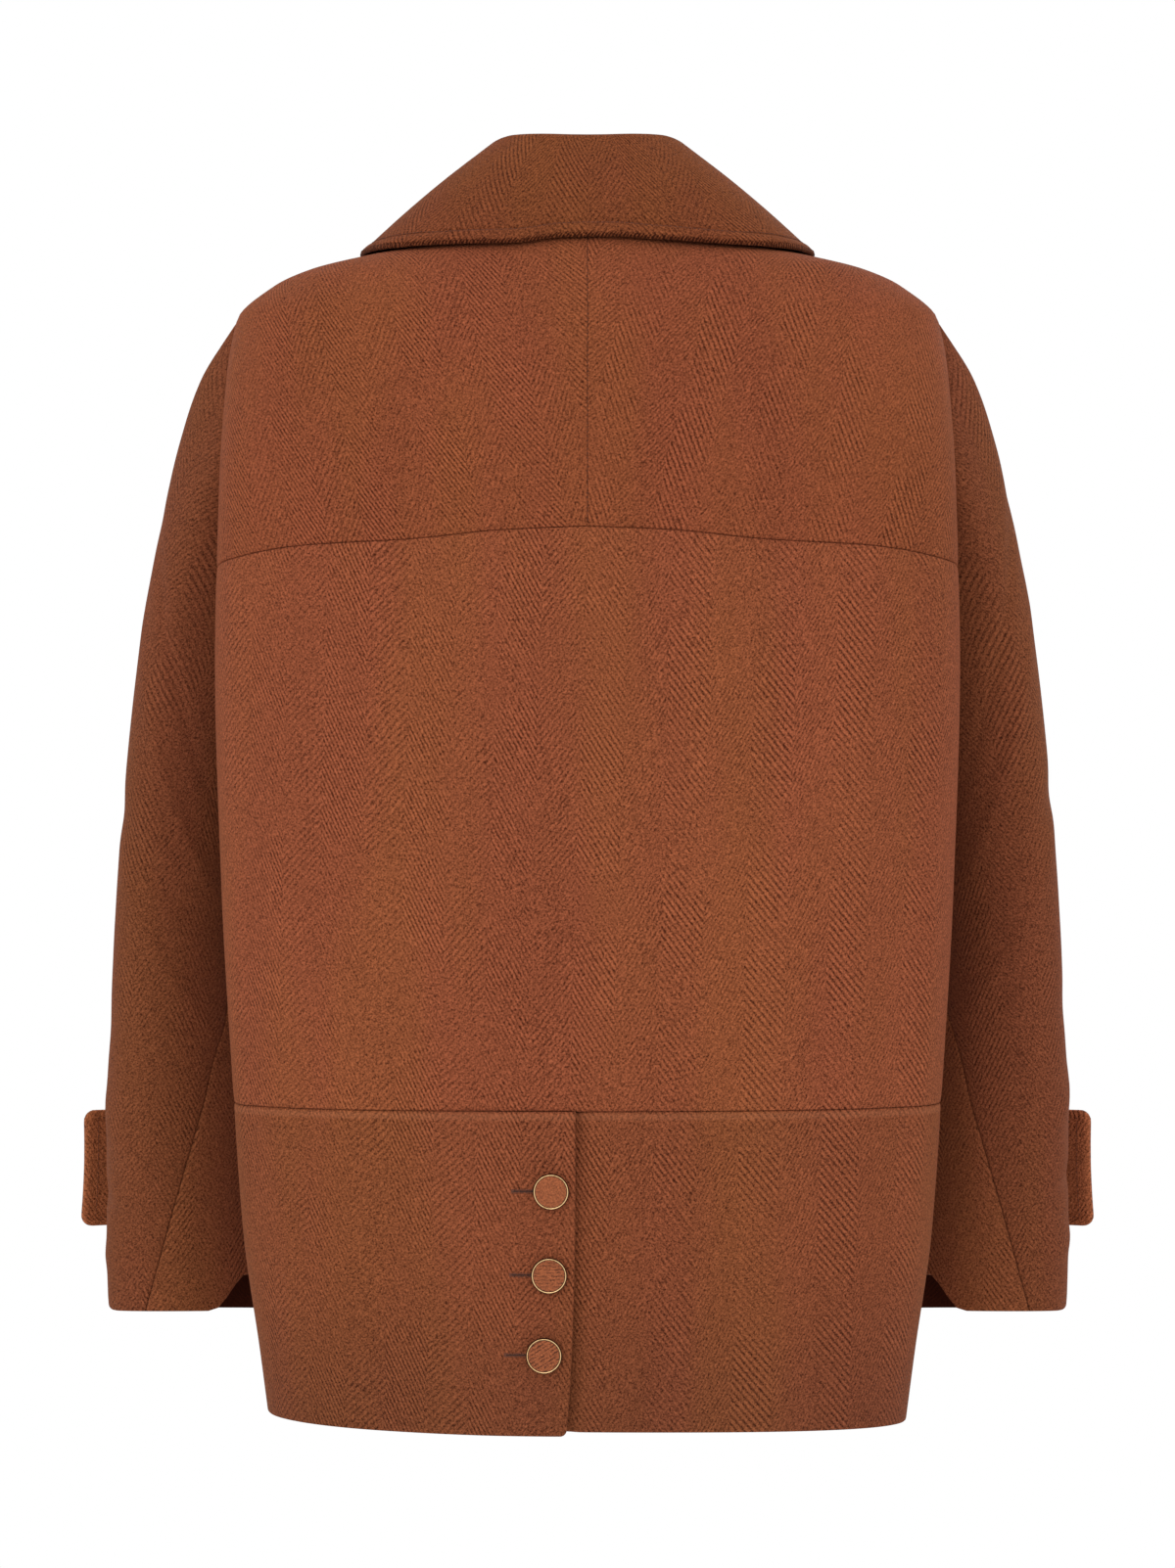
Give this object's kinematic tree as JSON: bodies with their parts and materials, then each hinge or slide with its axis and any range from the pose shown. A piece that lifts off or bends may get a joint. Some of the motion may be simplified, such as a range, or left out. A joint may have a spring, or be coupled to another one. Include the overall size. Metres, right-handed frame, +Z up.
{
  "type": "short wool coat",
  "caption": "Hip-length wool coat with a wide fold-down collar, dropped shoulders, back yoke, hem band with a buttoned back vent and cuff straps, filled out as if worn.",
  "frame": {"origin": "on the middle plane at the height of the base of the neck, above the shoulder seams, where the wearer's shoulders carry the coat", "axes": "+Z up, +X to the wearer's left, -Y the way the wearer faces, so the back of the coat is towards +Y"},
  "size_m": [0.6396, 0.2777, 0.7772],
  "materials": {
    "body_wool": "matte herringbone wool with a short nap",
    "sleeve_wool": "matte herringbone wool with a short nap",
    "collar_wool": "matte herringbone wool with a short nap",
    "button_cloth": "smooth matte cloth",
    "button_rim": "satin pale gold plating"
  },
  "bodies": {
    "root": {"back_body": "body_wool", "back_yoke_left": "body_wool", "back_yoke_right": "body_wool", "front_left": "body_wool", "front_right": "body_wool", "band_back_left": "body_wool", "band_back_right": "body_wool", "band_front_left": "body_wool", "band_front_right": "body_wool", "sleeve_upper_left": "sleeve_wool", "sleeve_upper_right": "sleeve_wool", "sleeve_under_left": "sleeve_wool", "sleeve_under_right": "sleeve_wool", "cuff_strap_left": "sleeve_wool", "cuff_strap_right": "sleeve_wool", "collar": "collar_wool", "back_button_1_rim": "button_rim", "back_button_1_top": "button_cloth", "back_button_2_rim": "button_rim", "back_button_2_top": "button_cloth", "back_button_3_rim": "button_rim", "back_button_3_top": "button_cloth", "front_button_1_rim": "button_rim", "front_button_1_top": "button_cloth", "front_button_2_rim": "button_rim", "front_button_2_top": "button_cloth", "front_button_3_rim": "button_rim", "front_button_3_top": "button_cloth", "front_button_4_rim": "button_rim", "front_button_4_top": "button_cloth"}
  },
  "joints": []
}
